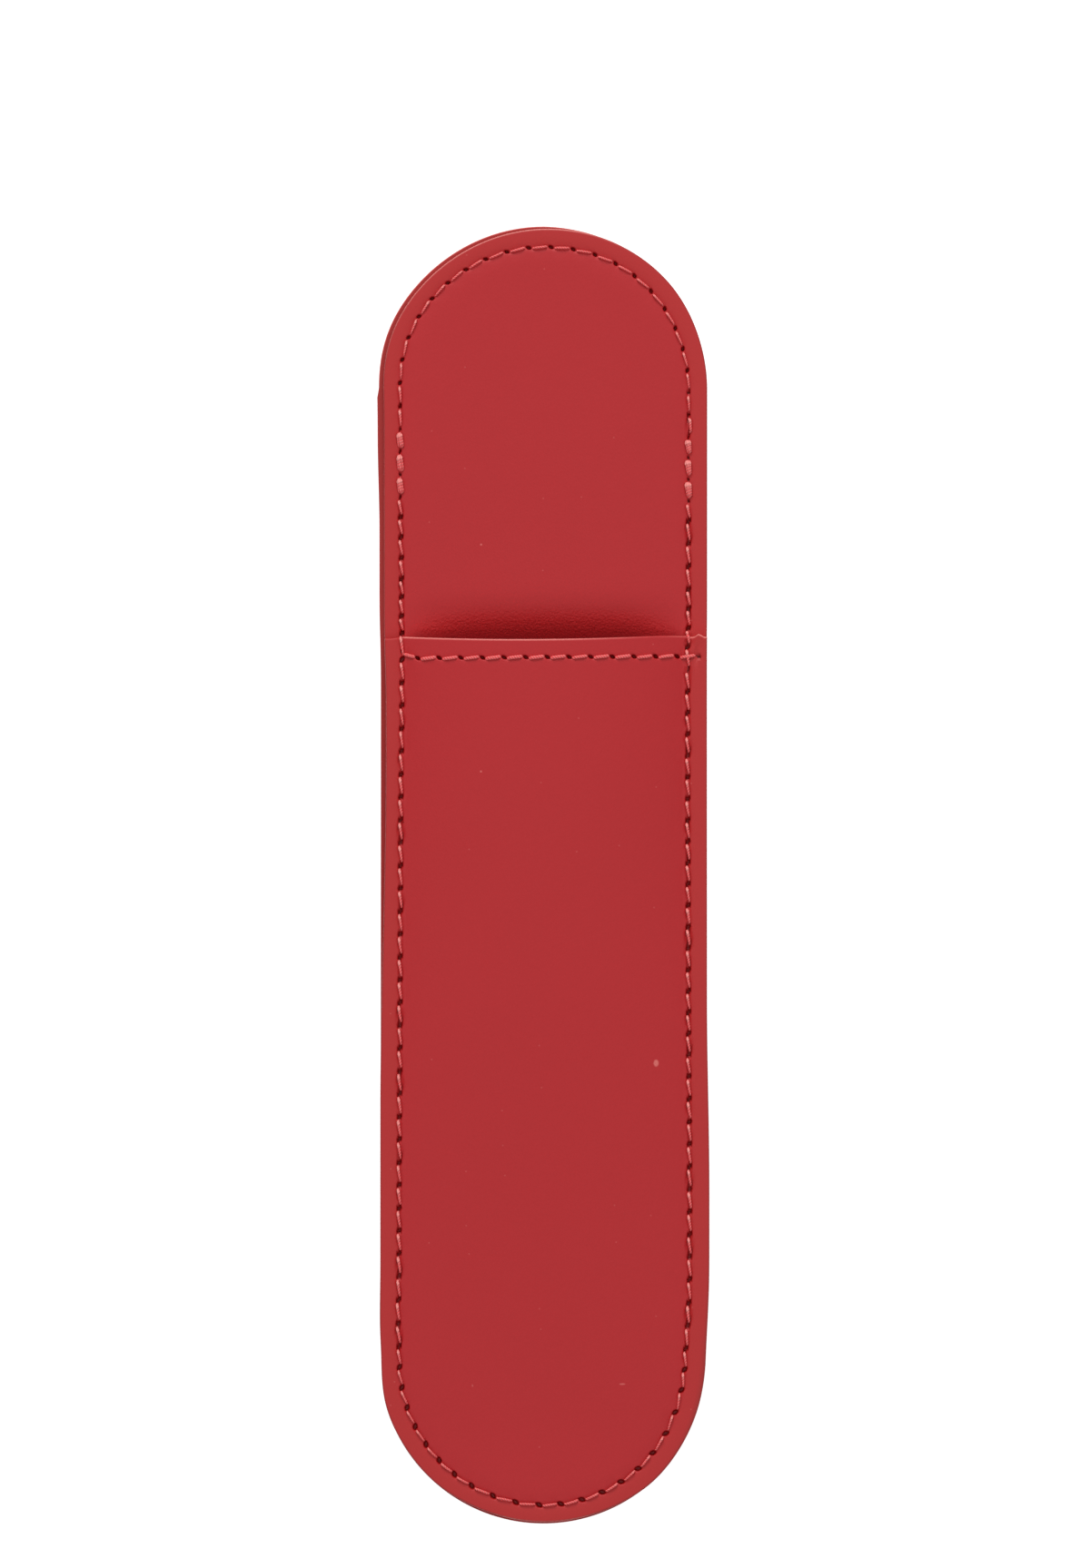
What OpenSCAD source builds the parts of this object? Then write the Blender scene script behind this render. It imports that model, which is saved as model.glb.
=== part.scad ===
// Sleeve for one pen: a flat leather back with a rounded tab, and a pocket front sewn on below it.
// It lies on its back: +Y runs up the tab, +Z faces out of the pocket front, z = 0 is the table.

/* [Outline] */
// Length from the foot to the top of the tab
sleeve_len = 166; // [150:1:185]
// Width of the flat leather; both ends are half circles of this width
sleeve_w = 42; // [36:1:50]
// Height of the pocket mouth above the foot
mouth_h = 113.3; // [95:0.1:125]

/* [Leather] */
// Thickness of the back panel
back_t = 1.2; // [0.8:0.1:1.8]
// Thickness of the facing that shows on the tab and lines the back of the pocket
facing_t = 1; // [0.6:0.1:1.6]
// Thickness of the lining inside the pocket front
lining_t = 0.5; // [0.3:0.1:1]
// Thickness of the pocket front
pocket_t = 1.2; // [0.8:0.1:1.8]
// Glue line between two layers
glue_t = 0.05; // [0.03:0.01:0.1]
// Width of the rounded arris on a cut edge
arris_w = 0.4; // [0.2:0.05:0.6]
// Drop of that arris at the very edge
arris_drop = 0.3; // [0.1:0.05:0.4]
// How far the facing is trimmed back inside the edge of the back panel
facing_trim = 0.3; // [0:0.05:0.4]

/* [Pillow] */
// Rise of the pocket front above its side seams, at the middle of the mouth
front_crown = 2.8; // [1.5:0.1:4.5]
// Hollow of the back below its side seams at the mouth, before the table flattens it
back_belly = 2.8; // [2:0.1:4.5]
// Rise of the side seams from the foot to the mouth, as the sleeve lies on its belly
seam_lift = 2.2; // [1.6:0.1:3.6]
// Length over which the hollow runs out up the tab from the mouth
hollow_len = 7; // [5:0.5:14]
// Length of the bend at the mouth where the hollow starts to run out
hollow_bend = 1.25; // [0.75:0.25:3]
// Squareness of the hollow across: 2 is a plain curve, more is flatter in the middle
hollow_fullness = 4; // [2:0.25:5]
// Fullness of the pillow between foot and mouth: less is fuller
pillow_power = 0.8; // [0.5:0.05:1.5]
// Margin outside the pillow, inside the perimeter seams, that stays glued flat
glued_beyond_seam = 0.6; // [0.6:0.1:2]

/* [Seams] */
// Distance of the perimeter seams from the edge
seam_inset = 2.6; // [2:0.1:4]
// Stitch length of the perimeter seams
stitch_pitch = 2.82; // [2.2:0.01:4]
// Distance of the mouth seam below the mouth edge
mouth_seam_drop = 2.2; // [1.8:0.1:4]
// Stitch length of the mouth seam
mouth_pitch = 2.75; // [2.2:0.05:4]
// How far the mouth seam runs on past the right side seam
mouth_overrun = 1.5; // [0.8:0.1:1.8]
// Thickness of the thread
thread_d = 0.5; // [0.35:0.05:0.7]
// Sideways lean of each stitch, half of it at either end
stitch_lean = 0.4; // [0:0.05:0.6]
// Bare leather between two stitches, where the awl hole is
hole_gap = 0.45; // [0.3:0.05:0.8]
// Height above the mouth at which the tab seam ends
lap_height = 18.1; // [8:0.1:22]
// Stitches over which the tab seam and the body seam are doubled
lap_count = 3; // [1:1:5]
// Depth of the groove that the perimeter stitches lie in
groove_depth = 0.25; // [0:0.05:0.3]

/* [Hidden] */

leather_red = "#b33438";
facing_red = "#b8363b";
lining_red = "#8c2a2e";
thread_coral = "#e07c78";

// Outline
half_w = sleeve_w / 2;
spine = sleeve_len / 2 - half_w; // half length of the straight sides
y_foot = -sleeve_len / 2;
y_mouth = y_foot + mouth_h;
glued_w = seam_inset + glued_beyond_seam; // flat margin all round
seam_half = half_w - seam_inset; // perimeter seam: half width of its own pill

// Thread
thread_r = thread_d / 2;
seat_gap = 0.03; // air between a stitch and the leather
sit = thread_r + seat_gap; // height of a stitch's middle above the leather
foot_z = thread_d + seat_gap; // the foot stands on its own back stitches

// Mesh of the leather skins
quarter_steps = 10;
body_steps = 7;
bend_shares = [0.2, 0.42, 0.7, 1]; // stations over the bend of the tab
tab_steps = 2; // stations from there to its arc
inner_rings = [0.2, 0.42, 0.68, 0.93];

function ease(t) = let (c = min(1, max(0, t))) c * c * (3 - 2 * c);
function along(a, b, share) = a + (b - a) * share;

// Share of the full pillow at height y: nothing at the foot, full at the mouth
function swell(y) = pow(ease((y - y_foot - seam_inset) / (mouth_h - seam_inset)), pillow_power);

// Share of the hollow that is left at height y, which runs out up the tab
function above_mouth(y) = let (v = y - y_mouth) (v + sqrt(v * v + hollow_bend * hollow_bend)) / 2;
function left_over(y) = pow(max(0, 1 - above_mouth(y) / hollow_len), 2);

// Share of the pillow at a distance d in from the edge
function across(d, fullness = 2) =
    d <= glued_w ? 0 : 1 - pow((half_w - d) / (half_w - glued_w), fullness);

// The flat pill draws in sideways where it swells, because the leather does not stretch
function draw_in(y) = 2 / 3 * pow(front_crown * swell(y) * left_over(y), 2) / seam_half;
function drawn_x(x, y) = x * (1 - draw_in(y) / half_w);

// Underside of the flat margin, which climbs from the foot as the belly lifts the mouth
function margin_z(y) = foot_z + seam_lift * (y - y_foot) / mouth_h;
// Hollow of the back, stopped by the table
function hollow(d, y) =
    min(back_belly * swell(y) * left_over(y) * across(d, hollow_fullness), margin_z(y));
function crown(d, y) = front_crown * swell(y) * across(d);
function arris(d) = d < arris_w ? arris_drop * (1 - d / arris_w) : 0;
function groove(d) = abs(d - seam_inset) < 0.01 ? groove_depth : 0;

// Heights of each layer's two faces
function back_low(d, y) = margin_z(y) - hollow(d, y);
function back_top(d, y) = back_low(d, y) + back_t;
function facing_low(d, y) = back_top(d, y) + glue_t;
function facing_top(d, y) = facing_low(d, y) + facing_t;
function lining_low(d, y) = margin_z(y) + back_t + facing_t + 2 * glue_t + crown(d, y);
function lining_top(d, y) = lining_low(d, y) + lining_t;
function pocket_low(d, y) = lining_top(d, y) + glue_t;
function pocket_top(d, y) = pocket_low(d, y) + pocket_t;

// A station is [across, along, y of its centre]; times a ring's half width it gives a point.
// They run up the right side, and the left side mirrors them.
foot_arc = [for (i = [1:quarter_steps]) let (a = 90 * i / quarter_steps) [sin(a), -cos(a), -spine]];
y_bend_low = y_mouth - 2 * hollow_bend;
y_bend_high = y_mouth + min(1.1 * hollow_len, 0.7 * (spine - y_mouth));
body_side = concat(
    [for (i = [1:body_steps]) [1, 0, along(-spine, y_bend_low, i / body_steps)]],
    [[1, 0, y_mouth]]
);
tab_side = concat(
    [for (share = bend_shares) [1, 0, along(y_mouth, y_bend_high, share)]],
    [for (i = [1:tab_steps]) [1, 0, along(y_bend_high, spine, i / tab_steps)]]
);
tab_arc = [for (i = [1:quarter_steps - 1]) let (a = 90 * i / quarter_steps) [cos(a), sin(a), spine]];
foot_tip = [[0, -1, -spine]];
tab_tip = [[0, 1, spine]];
function left_of(side) = [for (i = [len(side) - 1:-1:0]) [-side[i][0], side[i][1], side[i][2]]];

// Distances in from the edge of the rings that a skin is drawn on
rings = concat(
    [0, arris_w, seam_inset - glued_beyond_seam, seam_inset, glued_w],
    [for (share = inner_rings) glued_w + share * (half_w - glued_w)]
);

function skin_point(s, d, height) =
    let (r = half_w - d, y = s[2] + s[1] * r)
    [drawn_x(s[0] * r, y), y, height(d, y)];

function quad(a, b, c, d) = [[a, b, c], [a, c, d]];
function flipped(faces) = [for (f = faces) [f[2], f[1], f[0]]];
function joined(lists) = [for (l = lists) each l];

// One closed skin between two height functions: the whole pill, or only up to the mouth
module skin(low, top, whole, trim = 0) {
    side = whole ? concat(foot_arc, body_side, tab_side, tab_arc) : concat(foot_arc, body_side);
    stations = concat(foot_tip, side, whole ? tab_tip : [], left_of(side));
    count = len(stations);
    last = len(side); // highest station of the right side
    insets = [for (i = [0:len(rings) - 1]) i == 0 ? trim : rings[i]];
    layer = count * len(insets);
    spine_ring = count * (len(insets) - 1);
    steps = [for (i = [0:count - 1]) if (whole || i != last) i];

    points = concat(
        [for (d = insets) for (s = stations) skin_point(s, d, top)],
        [for (d = insets) for (s = stations) skin_point(s, d, low)]
    );
    bands = joined([
        for (j = [0:len(insets) - 2]) for (i = steps)
            let (k = (i + 1) % count, o = j * count, n = o + count)
            quad(o + i, n + i, n + k, o + k)
    ]);
    middle = joined([
        for (i = [1:last - 1])
            let (m = count - i)
            quad(spine_ring + i, spine_ring + m, spine_ring + m - 1, spine_ring + i + 1)
    ]);
    foot_cap = [[spine_ring, spine_ring + count - 1, spine_ring + 1]];
    tab_cap = whole ? [[spine_ring + last, spine_ring + last + 2, spine_ring + last + 1]] : [];
    face = concat(bands, middle, foot_cap, tab_cap);
    edge = joined([for (i = steps) let (k = (i + 1) % count) quad(i, k, layer + k, layer + i)]);
    rim = concat(
        [for (j = [0:len(insets) - 1]) j * count + last],
        [for (j = [len(insets) - 1:-1:0]) j * count + last + 1]
    );
    lip = whole ? [] : joined([
        for (i = [0:len(rim) - 2]) quad(rim[i], rim[i + 1], layer + rim[i + 1], layer + rim[i])
    ]);
    under = [for (f = flipped(face)) [f[0] + layer, f[1] + layer, f[2] + layer]];
    polyhedron(points = points, faces = concat(face, under, edge, lip));
}

module back_panel() {
    color(leather_red)
        skin(
            function (d, y) back_low(d, y) + arris(d) + groove(d),
            function (d, y) back_top(d, y),
            true
        );
}

module facing_panel() {
    color(facing_red)
        skin(
            function (d, y) facing_low(d, y),
            function (d, y) facing_top(d, y) - (y > y_mouth ? arris(d) + groove(d) : 0),
            true,
            facing_trim
        );
}

module pocket_lining() {
    color(lining_red)
        skin(function (d, y) lining_low(d, y), function (d, y) lining_top(d, y), false, facing_trim);
}

module pocket_panel() {
    color(leather_red)
        skin(
            function (d, y) pocket_low(d, y),
            function (d, y) pocket_top(d, y) - arris(d) - groove(d),
            false
        );
}

// Seam line of the perimeter: s runs clockwise from the top of the tab, both ways to the foot
seam_quarter = PI / 2 * seam_half;
seam_whole = 4 * seam_quarter + 4 * spine;
hole_count = 2 * round(seam_whole / stitch_pitch / 2);
hole_step = seam_whole / hole_count;

function seam_flat(s) =
    let (side = sign(s), a = abs(s), t = (a - seam_quarter - 2 * spine) / seam_half * 180 / PI)
    a <= seam_quarter
        ? let (u = a / seam_half * 180 / PI) [side * seam_half * sin(u), spine + seam_half * cos(u)]
        : a <= seam_quarter + 2 * spine
            ? [side * seam_half, spine - (a - seam_quarter)]
            : [side * seam_half * cos(t), -spine - seam_half * sin(t)];
function seam_point(s) = let (p = seam_flat(s)) [drawn_x(p[0], p[1]), p[1]];

// The seams are counted in holes from the top of the tab
tab_end_hole = round((seam_quarter + spine - y_mouth - lap_height) / hole_step);
body_end_hole = tab_end_hole - lap_count;
foot_hole = hole_count / 2;

function outer_z(y) = y > y_mouth ? facing_top(seam_inset, y) : pocket_top(seam_inset, y);
function under_z(y) = back_low(seam_inset, y);

// One stitch: a length of thread that thins where it dives into its holes
module stitch(a, b) {
    run = norm(b - a);
    half = run / 2;
    tip = thread_r * 0.5;
    taper = min(thread_d, half * 0.6);
    dir = (b - a) / run;
    translate((a + b) / 2)
        rotate([0, acos(dir[2]), atan2(dir[1], dir[0])])
            rotate_extrude($fn = 24)
                polygon([
                    [0, -half], [tip, -half], [thread_r, taper - half],
                    [thread_r, half - taper], [tip, half], [0, half]
                ]);
}

// A leaning stitch between two holes of a flat seam, moved sideways where two threads share it
module leaning_stitch(a, b, side_shift) {
    flat = [b[0] - a[0], b[1] - a[1]];
    dir = flat / norm(flat);
    left = [-dir[1], dir[0], 0];
    from = along(a, b, hole_gap / 2 / norm(flat)) + left * (side_shift - stitch_lean / 2);
    to = along(b, a, hole_gap / 2 / norm(flat)) + left * (side_shift + stitch_lean / 2);
    stitch(from, to);
}

// Stitches from one hole number to another, on the front or on the back
module perimeter_run(first, last, front, shift_at) {
    for (k = [first:last - 1]) {
        p = seam_point(k * hole_step);
        q = seam_point((k + 1) * hole_step);
        shift = shift_at(k);
        if (front) {
            a = [p[0], p[1], outer_z(p[1]) + sit];
            b = [q[0], q[1], outer_z(q[1]) + sit];
            if ((p[1] > y_mouth) != (q[1] > y_mouth)) step_stitch(a, b);
            else leaning_stitch(a, b, shift);
        } else {
            leaning_stitch(
                [p[0], p[1], under_z(p[1]) - sit], [q[0], q[1], under_z(q[1]) - sit], shift
            );
        }
    }
}

// The stitch that climbs from the tab over the cut edge of the mouth
module step_stitch(a, b) {
    low = a[1] > b[1] ? a : b;
    high = a[1] > b[1] ? b : a;
    clear = thread_d + seat_gap;
    knee_y = min(y_mouth + clear, low[1]);
    knee = [low[0], knee_y, high[2] + seat_gap];
    stitch([low[0], max(low[1], knee_y), low[2]], knee);
    stitch([knee[0], knee_y - clear, knee[2]], [high[0], high[1] + hole_gap / 2, high[2]]);
}

// Where both seams share a stitch, the tab seam lies outside and the body seam inside
function lapped(k) = let (m = k < 0 ? -k - 1 : k) m >= body_end_hole && m < tab_end_hole;
function lap_shift(k) = lapped(k) ? thread_r + seat_gap : 0;

module tab_seam(front) {
    perimeter_run(-tab_end_hole, tab_end_hole, front, function (k) lap_shift(k));
}

module body_seam(front) {
    perimeter_run(body_end_hole, foot_hole, front, function (k) -lap_shift(k));
    perimeter_run(-foot_hole, -body_end_hole, front, function (k) -lap_shift(k));
}

module tab_seam_needle_thread() { color(thread_coral) tab_seam(true); }
module tab_seam_bobbin_thread() { color(thread_coral) tab_seam(false); }
module body_seam_needle_thread() { color(thread_coral) body_seam(true); }
module body_seam_bobbin_thread() { color(thread_coral) body_seam(false); }

// Mouth seam: from the left side seam to just past the right one, over the crown
mouth_seam_y = y_mouth - mouth_seam_drop;
mouth_left = -seam_half;
mouth_right = seam_half + mouth_overrun;
mouth_holes = round((mouth_right - mouth_left) / mouth_pitch);
mouth_step = (mouth_right - mouth_left) / mouth_holes;
function mouth_x(k) = mouth_left + k * mouth_step;
function inset_at(x) = half_w - abs(x);

module mouth_stitch(k, z_of) {
    a = [drawn_x(mouth_x(k), mouth_seam_y), mouth_seam_y, z_of(mouth_x(k))];
    b = [drawn_x(mouth_x(k + 1), mouth_seam_y), mouth_seam_y, z_of(mouth_x(k + 1))];
    leaning_stitch(a, b, 0);
}

module mouth_seam_needle_thread() {
    // a stitch on the flat margin lies over the side seam
    color(thread_coral)
        for (k = [0:mouth_holes - 1])
            mouth_stitch(k, function (x)
                pocket_top(inset_at(x), mouth_seam_y) + sit
                + (abs(x) > seam_half - mouth_step / 2 ? thread_d + seat_gap : 0));
}

module mouth_seam_bobbin_thread() {
    // only where the pocket is open enough: further out it is nipped between the layers
    free = function (x)
        lining_low(inset_at(x), mouth_seam_y) - facing_top(inset_at(x), mouth_seam_y) > 2 * thread_d;
    color(thread_coral)
        for (k = [0:mouth_holes - 1])
            if (free(mouth_x(k)) && free(mouth_x(k + 1)))
                mouth_stitch(k, function (x) lining_low(inset_at(x), mouth_seam_y) - sit - seat_gap);
}

back_panel();
facing_panel();
pocket_lining();
pocket_panel();
tab_seam_needle_thread();
tab_seam_bobbin_thread();
body_seam_needle_thread();
body_seam_bobbin_thread();
mouth_seam_needle_thread();
mouth_seam_bobbin_thread();
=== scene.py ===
# %% [markdown]
# # A leather sleeve for one pen
# The real sleeve is four flat pieces of leather and three rows of stitching. A back with two round
# ends carries a facing of the same outline; a shorter lined pocket front is sewn on top, so its upper
# edge makes a mouth and the bare leather above it makes a tab. A pen has swelled the pocket, so
# the front crowns up, the back hollows down and the facing sinks away from the mouth.
# Each layer is cut flat, given its thickness, pricked for the stitches and only then draped over
# that swell. That is the order in which a leather worker makes it, and it keeps every layer a true
# sheet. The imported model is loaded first, because every size here comes from it.

# %% The frame
import math
import random

import bpy
import numpy as np
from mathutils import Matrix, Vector


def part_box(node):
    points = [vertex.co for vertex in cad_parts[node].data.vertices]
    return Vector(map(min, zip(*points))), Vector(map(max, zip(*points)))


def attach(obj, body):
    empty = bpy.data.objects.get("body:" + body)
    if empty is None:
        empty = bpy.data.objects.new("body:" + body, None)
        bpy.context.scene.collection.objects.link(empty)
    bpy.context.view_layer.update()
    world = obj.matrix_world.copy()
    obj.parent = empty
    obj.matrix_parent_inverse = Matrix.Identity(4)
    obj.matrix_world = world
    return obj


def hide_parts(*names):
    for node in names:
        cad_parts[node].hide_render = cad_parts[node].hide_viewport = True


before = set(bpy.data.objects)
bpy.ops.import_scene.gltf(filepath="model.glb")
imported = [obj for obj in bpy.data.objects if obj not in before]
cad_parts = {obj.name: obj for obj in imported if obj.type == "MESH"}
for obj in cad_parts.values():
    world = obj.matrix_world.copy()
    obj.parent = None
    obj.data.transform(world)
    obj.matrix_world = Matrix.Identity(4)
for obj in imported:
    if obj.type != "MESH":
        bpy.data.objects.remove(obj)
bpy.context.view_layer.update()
print("frame nodes:", sorted(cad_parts))

# %% [markdown]
# ## Sizes
# Leather work is measured in millimetres, so every size below is in millimetres and `MM` turns it
# into Blender's metres. The outline and the mouth come from the CAD solids. The others repeat the
# named values of the CAD source, so that the dressed layers lie where the solids lie. Only
# `hollow_len` is a little less than in the solids, because on the real sleeve the dark hollow
# above the mouth runs out sooner.

# %% Sizes shared with the solids
MM = 0.001
back_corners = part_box("back_panel")
half_w = (back_corners[1].x - back_corners[0].x) / 2 / MM
y_foot = back_corners[0].y / MM
y_tip = back_corners[1].y / MM
spine = (y_tip - y_foot) / 2 - half_w
y_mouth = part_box("pocket_panel")[1].y / MM

back_t, facing_t, lining_t, pocket_t = 1.2, 1.0, 0.5, 1.2
glue_t = 0.05
front_crown, back_belly, seam_lift, pillow_power = 2.8, 2.8, 2.2, 0.8
hollow_len, hollow_bend, hollow_fullness = 5.8, 1.25, 4
seam_inset, glued_beyond_seam = 2.6, 0.6
glued_w = seam_inset + glued_beyond_seam
seam_half = half_w - seam_inset
foot_z = 0.53
mouth_h = y_mouth - y_foot
print(f"half width {half_w:.2f}, foot {y_foot:.2f}, tip {y_tip:.2f}, mouth {y_mouth:.2f} mm")

# %% [markdown]
# ## Camera
# The photograph looks straight down on a sleeve that lies on a white table, tab at the top. A
# camera above the table that looks down needs no turning: the tab runs up the picture along +Y.
# A long lens from far off keeps the long sides parallel and the raised tab at its true length.

# %% Camera straight above
lens, sensor = 200.0, 36.0
frame_height = 200.8
view_x, view_y, view_top = 0.06, 11.6, 3
camera_data = bpy.data.cameras.new("overhead_camera")
camera_data.lens = lens
camera_data.sensor_width = sensor
camera = bpy.data.objects.new("overhead_camera", camera_data)
bpy.context.scene.collection.objects.link(camera)
camera.location = (view_x * MM, view_y * MM, (view_top + frame_height * lens / sensor) * MM)
bpy.context.scene.camera = camera
print(f"camera {camera.location.z:.3f} m above the table")

# %% [markdown]
# ## Table and light
# The table is a plain white sheet. The camera and the shine of the leather see it brighter than it
# is, through Light Path, so the background goes white while the table keeps the shadow and sheds
# no extra light. The light is a big soft sheet overhead, a second one beyond the tab that catches
# every edge that faces up the picture, and an even pale surround.


# %% Helpers that pick an object
def rest():
    """Leaves edit mode with nothing selected."""
    if bpy.context.mode != "OBJECT":
        bpy.ops.object.mode_set(mode="OBJECT")
    bpy.ops.object.select_all(action="DESELECT")


def only(piece):
    """Makes piece the one selected and active object."""
    rest()
    piece.select_set(True)
    bpy.context.view_layer.objects.active = piece


# %% Node helpers
node_step = 220


def feed(tree, value, socket):
    """Links a value that is a socket, and sets one that is a number, a colour or a place."""
    if isinstance(value, bpy.types.NodeSocket):
        tree.links.new(value, socket)
    else:
        socket.default_value = value


def node(tree, kind, *terms, **values):
    """Adds a shader node to the right of the others and sets its properties. Its first sockets
    are fed with terms in their order, and others by name."""
    made = tree.nodes.new(kind)
    made.location = (node_step * len(tree.nodes), 0)
    for name, value in values.items():
        if hasattr(made, name):
            setattr(made, name, value)
        else:
            feed(tree, value, made.inputs[name.replace("_", " ")])
    for socket, term in zip(made.inputs, terms):
        feed(tree, term, socket)
    return made


def maths(tree, kind, *terms, clamp=False):
    """What a maths node makes of its terms."""
    return node(tree, "ShaderNodeMath", *terms, operation=kind, use_clamp=clamp).outputs[0]


def over(tree, under, colour, amount, blend="MIX"):
    """One colour laid over another by an amount. A colour mix has its colours on sockets 6 and 7."""
    made = node(tree, "ShaderNodeMix", data_type="RGBA", blend_type=blend, Factor=amount)
    feed(tree, under, made.inputs[6])
    feed(tree, colour, made.inputs[7])
    return made.outputs[2]


def blank_material(name):
    """A material with no nodes yet."""
    made = bpy.data.materials.new(name)
    made.use_nodes = True
    made.node_tree.nodes.clear()
    return made, made.node_tree


# %% Table
table_glow, table_white = 0.75, (0.82, 0.82, 0.82, 1)
table_side, table_drop = 6, 0.02
rest()
bpy.ops.mesh.primitive_plane_add(size=table_side, location=(0, 0, -table_drop * MM))
table = bpy.context.object
table.name = "table"
table_paint, tree = blank_material("table_white")
ray = node(tree, "ShaderNodeLightPath")
seen = maths(tree, "MAXIMUM", ray.outputs["Is Camera Ray"], ray.outputs["Is Glossy Ray"])
seen = maths(tree, "MAXIMUM", seen, ray.outputs["Is Transmission Ray"])
matt = node(tree, "ShaderNodeBsdfDiffuse", Color=table_white).outputs[0]
glow = node(tree, "ShaderNodeEmission", Strength=table_glow).outputs[0]
bright = node(tree, "ShaderNodeAddShader", matt, glow).outputs[0]
shown = node(tree, "ShaderNodeMixShader", seen, matt, bright).outputs[0]
node(tree, "ShaderNodeOutputMaterial", shown)
table.data.materials.append(table_paint)
print("table is", table.dimensions.x, "m wide")

# %% Soft lights
surround_light = 0.42
world = bpy.data.worlds.new("studio")
bpy.context.scene.world = world
world.use_nodes = True
surround = world.node_tree.nodes["Background"]
surround.inputs["Color"].default_value = (1, 1, 1, 1)
surround.inputs["Strength"].default_value = surround_light


def soft_light(name, place, target, size, share):
    """A square area light; share is how much of a full exposure it gives a surface facing it."""
    data = bpy.data.lights.new(name, "AREA")
    data.shape = "SQUARE"
    data.size = size
    aim = Vector(target) - Vector(place)
    data.energy = share * math.pi ** 2 * aim.length_squared
    light = bpy.data.objects.new(name, data)
    bpy.context.scene.collection.objects.link(light)
    light.location = place
    light.rotation_euler = aim.to_track_quat("-Z", "Y").to_euler()
    return data.energy


overhead = soft_light("overhead_sheet", (0, 0.1, 1.3), (0, 0.02, 0), size=2.4, share=0.34)
far = soft_light("far_sheet", (-0.1, 1.05, 0.72), (0, 0.03, 0), size=0.7, share=0.52)
bpy.context.scene.view_settings.view_transform = "Standard"
print(f"overhead {overhead:.1f} W, far {far:.1f} W, surround {surround_light}")

# %% [markdown]
# ## The swell
# These functions say how high each layer lies at a distance `d` in from the edge and at a height
# `y` up the sleeve. As in the CAD source, there is nothing at the foot and the full swell at the
# mouth, the glued margin stays flat, and the front crowns up in a parabola. The hollow below is
# fuller than a parabola, the table flattens its belly, and it runs out just above the mouth.
# Leather doesn't stretch, so where the sheet swells its edges draw in.


# %% Smooth steps and humps
def ease(t):
    """Nothing up to 0, all from 1 on, and a smooth rise between."""
    c = np.clip(t, 0, 1)
    return c * c * (3 - 2 * c)


def ramps(at, steps):
    """Adds up steps of (size, start, length); one with a negative length grows downwards."""
    return sum(size * ease((at - start) / length) for size, start, length in steps)


def hump(at, middle, width):
    """A smooth hump of height 1."""
    return np.exp(-(((at - middle) / width) ** 2))


def humps(at, spots):
    """Adds up humps of (size, middle, width)."""
    return sum(size * hump(at, middle, width) for size, middle, width in spots)


# %% Swell of the layers
def inset_of(x, y):
    """Distance in from the ideal edge of the pill outline."""
    return half_w - np.hypot(x, np.maximum(np.abs(y) - spine, 0))


def swell(y):
    """Share of the full pillow: nothing at the foot, full at the mouth."""
    return ease((y - y_foot - seam_inset) / (mouth_h - seam_inset)) ** pillow_power


def left_over(y):
    """Share of the hollow that is left, which runs out up the tab."""
    above = y - y_mouth
    above = (above + np.sqrt(above ** 2 + hollow_bend ** 2)) / 2
    return np.maximum(1 - above / hollow_len, 0) ** 2


def across(d, fullness=2):
    """Share of the swell at a distance in from the edge; a fullness of 2 is a parabola."""
    return np.where(d <= glued_w, 0, 1 - ((half_w - d) / (half_w - glued_w)) ** fullness)


def draw_in(y):
    """How far the edges come in where the sheet swells."""
    return 2 / 3 * (front_crown * swell(y) * left_over(y)) ** 2 / seam_half


def margin_z(y):
    """Height of the glued margin's underside, which the seam lifts more and more up to the tab."""
    return foot_z + seam_lift * (y - y_foot) / mouth_h


print(f"the edges draw in {draw_in(y_mouth):.2f} mm at the mouth")


# %% Heights of the layers
def back_low(d, y):
    hollow = back_belly * swell(y) * left_over(y) * across(d, hollow_fullness)
    return margin_z(y) - np.minimum(hollow, margin_z(y))


def facing_low(d, y):
    return back_low(d, y) + back_t + glue_t


def facing_top(d, y):
    return facing_low(d, y) + facing_t


def lining_low(d, y):
    crown = front_crown * swell(y) * across(d)
    return margin_z(y) + back_t + facing_t + 2 * glue_t + crown


def pocket_low(d, y):
    return lining_low(d, y) + lining_t + glue_t


def pocket_top(d, y):
    return pocket_low(d, y) + pocket_t


# %% [markdown]
# ## A hand-cut outline
# The ends of the real sleeve aren't true half circles. The shoulders are a little full, the lower
# right corner is pulled in, and the foot and the head sit a hair lower than the pattern has them.
# These departures are tenths of a millimetre, but an outline without them looks stamped by a machine.

# %% Where a point of the pattern lies
right_departures = [(0.3, 76, 6), (-0.42, -66, 8)]
left_departures = [(0.28, 70, 7)]
side_fade = 8
foot_from, foot_fade, head_fade = -50, 10, 14
foot_left, foot_down, head_down = 0.15, 0.22, 0.2


def placed(x, y):
    """Where a point of the flat pattern lies once the sleeve is cut, sewn and swelled."""
    bulge = humps(y, right_departures) * ease(x / side_fade)
    bulge = bulge + humps(y, left_departures) * ease(-x / side_fade)
    middle = np.clip(y, -spine, spine)
    grow = 1 + bulge / half_w
    foot, head = ease((foot_from - y) / foot_fade), ease((y - spine) / head_fade)
    out_x = x * grow * (1 - draw_in(y) / half_w) - foot_left * foot
    return out_x, middle + (y - middle) * grow - foot_down * foot - head_down * head


print("the tip goes to", [round(float(value), 2) for value in placed(0.0, y_tip)], "mm")

# %% [markdown]
# ## Stitch holes
# The leather is pricked with an awl before it is sewn. The awl makes slanting slits, and the
# thread runs from one end of a slit to the other end of the next, so each stitch leans. The holes
# are counted off along the seam line, which is a pill of its own inside the outline. `s` runs
# clockwise along it from the top of the tab. The pitches are those of the real seams: a seam
# worked by hand or on an old machine doesn't keep one pitch all the way.

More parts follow.
